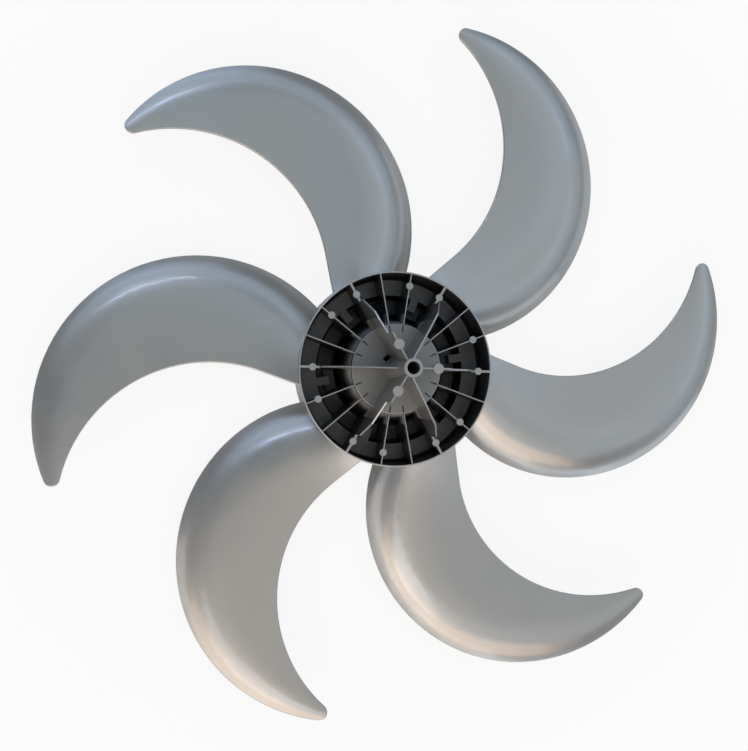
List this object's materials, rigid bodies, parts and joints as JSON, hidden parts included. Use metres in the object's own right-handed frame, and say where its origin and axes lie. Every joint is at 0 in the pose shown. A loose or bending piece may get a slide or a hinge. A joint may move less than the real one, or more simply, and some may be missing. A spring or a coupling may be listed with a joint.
{
  "type": "axial fan impeller",
  "caption": "One-piece moulded axial fan impeller with sickle blades, a cup hub open to the rear, stepped ribs and a plain shaft bore.",
  "frame": {"origin": "where the shaft axis meets the plane of the hub's rear rim", "axes": "+Z along the shaft axis towards the open rear, motor side; +X along one of the high main ribs"},
  "size_m": [0.464, 0.463, 0.0952],
  "materials": {
    "impeller_plastic": "moulded plastic with a silver-grey metallic pigment, satin gloss"
  },
  "bodies": {
    "root": {"impeller": "impeller_plastic"}
  },
  "joints": []
}
